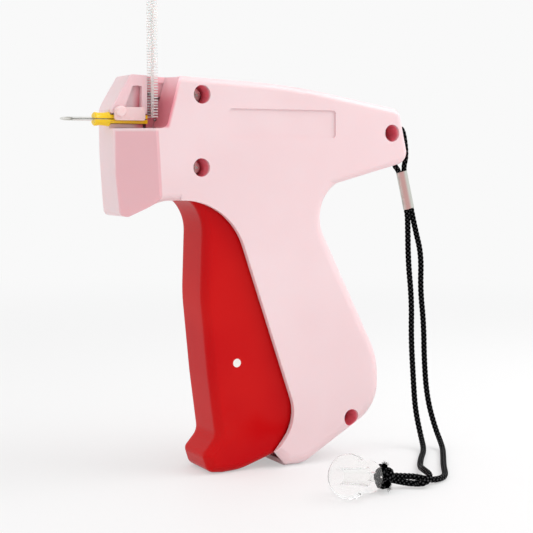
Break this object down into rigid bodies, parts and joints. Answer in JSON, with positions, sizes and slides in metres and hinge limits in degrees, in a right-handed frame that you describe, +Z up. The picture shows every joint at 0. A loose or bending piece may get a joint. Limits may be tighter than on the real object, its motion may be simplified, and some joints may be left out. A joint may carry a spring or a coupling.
{
  "type": "garment tag attacher",
  "caption": "Pistol-grip garment tag attacher with a hollow needle, a clip of plastic fasteners, a squeeze trigger, and a wrist strap with a clear needle cap.",
  "frame": {"origin": "on the standing surface, below the middle of the tool between the needle's tip and the back of the barrel, on the joint plane of the two housing halves", "axes": "+Z up; the needle points along -X; the side with the screws and the label recess faces -Y"},
  "size_m": [0.1444, 0.0769, 0.1668],
  "materials": {
    "housing_plastic": "pale pink moulded plastic, smooth",
    "nose_plate_plastic": "pink moulded plastic",
    "trigger_plastic": "glossy red moulded plastic",
    "pin_plastic": "white plastic",
    "lever_plastic": "white engineering plastic",
    "steel_pin": "drawn steel",
    "slider_plastic": "white engineering plastic",
    "spring_steel": "spring steel",
    "needle_steel": "ground steel",
    "needle_base_plastic": "yellow moulded plastic",
    "lock_plastic": "pale pink moulded plastic",
    "gear_plastic": "white engineering plastic",
    "fastener_plastic": "white polypropylene",
    "strap_cord": "black braided cord",
    "ferrule_metal": "crimped metal",
    "cap_plastic": "clear plastic",
    "screw_steel": "plated steel"
  },
  "bodies": {
    "housing": {"left_housing": "housing_plastic", "right_housing": "housing_plastic", "nose_plate": "nose_plate_plastic", "screw_front_upper": "screw_steel", "screw_front_lower": "screw_steel", "screw_rear": "screw_steel", "screw_heel": "screw_steel", "lever_pivot_pin": "steel_pin", "feed_gear_axle": "steel_pin", "return_spring": "spring_steel", "pawl_spring": "spring_steel", "strap_loop": "strap_cord", "strap_ferrule": "ferrule_metal", "strap_cord_left": "strap_cord", "strap_cord_right": "strap_cord", "strap_knot": "strap_cord", "needle_cap": "cap_plastic"},
    "trigger": {"trigger": "trigger_plastic", "link_pin": "pin_plastic"},
    "drive_lever": {"drive_lever": "lever_plastic"},
    "slider": {"slider": "slider_plastic", "ejector_rod": "steel_pin"},
    "needle": {"needle": "needle_steel", "needle_base": "needle_base_plastic"},
    "needle_lock": {"needle_lock": "lock_plastic"},
    "feed_gear": {"feed_gear": "gear_plastic"},
    "feed_pawl": {"feed_pawl": "gear_plastic"},
    "fastener_clip": {"fastener_clip": "fastener_plastic"}
  },
  "joints": [
    {"name": "trigger_pull", "type": "hinge", "parent": "housing", "child": "trigger", "pos_m": [-0.005, 0, 0.1], "axis": [0, -1, 0], "range_deg": [0, 12], "stiffness_Nm_per_rad": 1, "springref_deg": -17.19},
    {"name": "lever_swing", "type": "hinge", "parent": "housing", "child": "drive_lever", "pos_m": [-0.001, 0, 0.0612], "axis": [0, -1, 0], "range_deg": [0, 32.4]},
    {"name": "slider_stroke", "type": "slide", "parent": "housing", "child": "slider", "axis": [-1, 0, 0], "range_m": [0, 0.032], "deforming": ["return_spring"]},
    {"name": "needle_removal", "type": "slide", "parent": "housing", "child": "needle", "axis": [-1, 0, 0], "range_m": [0, 0.016]},
    {"name": "lock_turn", "type": "hinge", "parent": "housing", "child": "needle_lock", "pos_m": [-0.0449, 0, 0.12455], "axis": [0, -1, 0], "range_deg": [0, 35]},
    {"name": "clip_lift", "type": "slide", "parent": "housing", "child": "fastener_clip", "axis": [0, 0, 1], "range_m": [0, 0.00545]},
    {"name": "gear_turn", "type": "hinge", "parent": "housing", "child": "feed_gear", "pos_m": [-0.0328, 0.00289, 0.12745], "axis": [1, 0, 0], "range_deg": [-108.5, 0]},
    {"name": "pawl_swing", "type": "hinge", "parent": "housing", "child": "feed_pawl", "pos_m": [-0.0262, 0.008, 0.131], "axis": [1, 0, 0], "range_deg": [0, 10.1]}
  ],
  "couplings": [
    {"joint": "lever_swing", "follows": "trigger_pull", "ratio": 2.6965},
    {"joint": "slider_stroke", "follows": "trigger_pull", "m_per_rad": 0.1527},
    {"joint": "pawl_swing", "follows": "trigger_pull", "ratio": 0.8333},
    {"joint": "gear_turn", "follows": "clip_lift", "rad_per_m": -345.61}
  ]
}
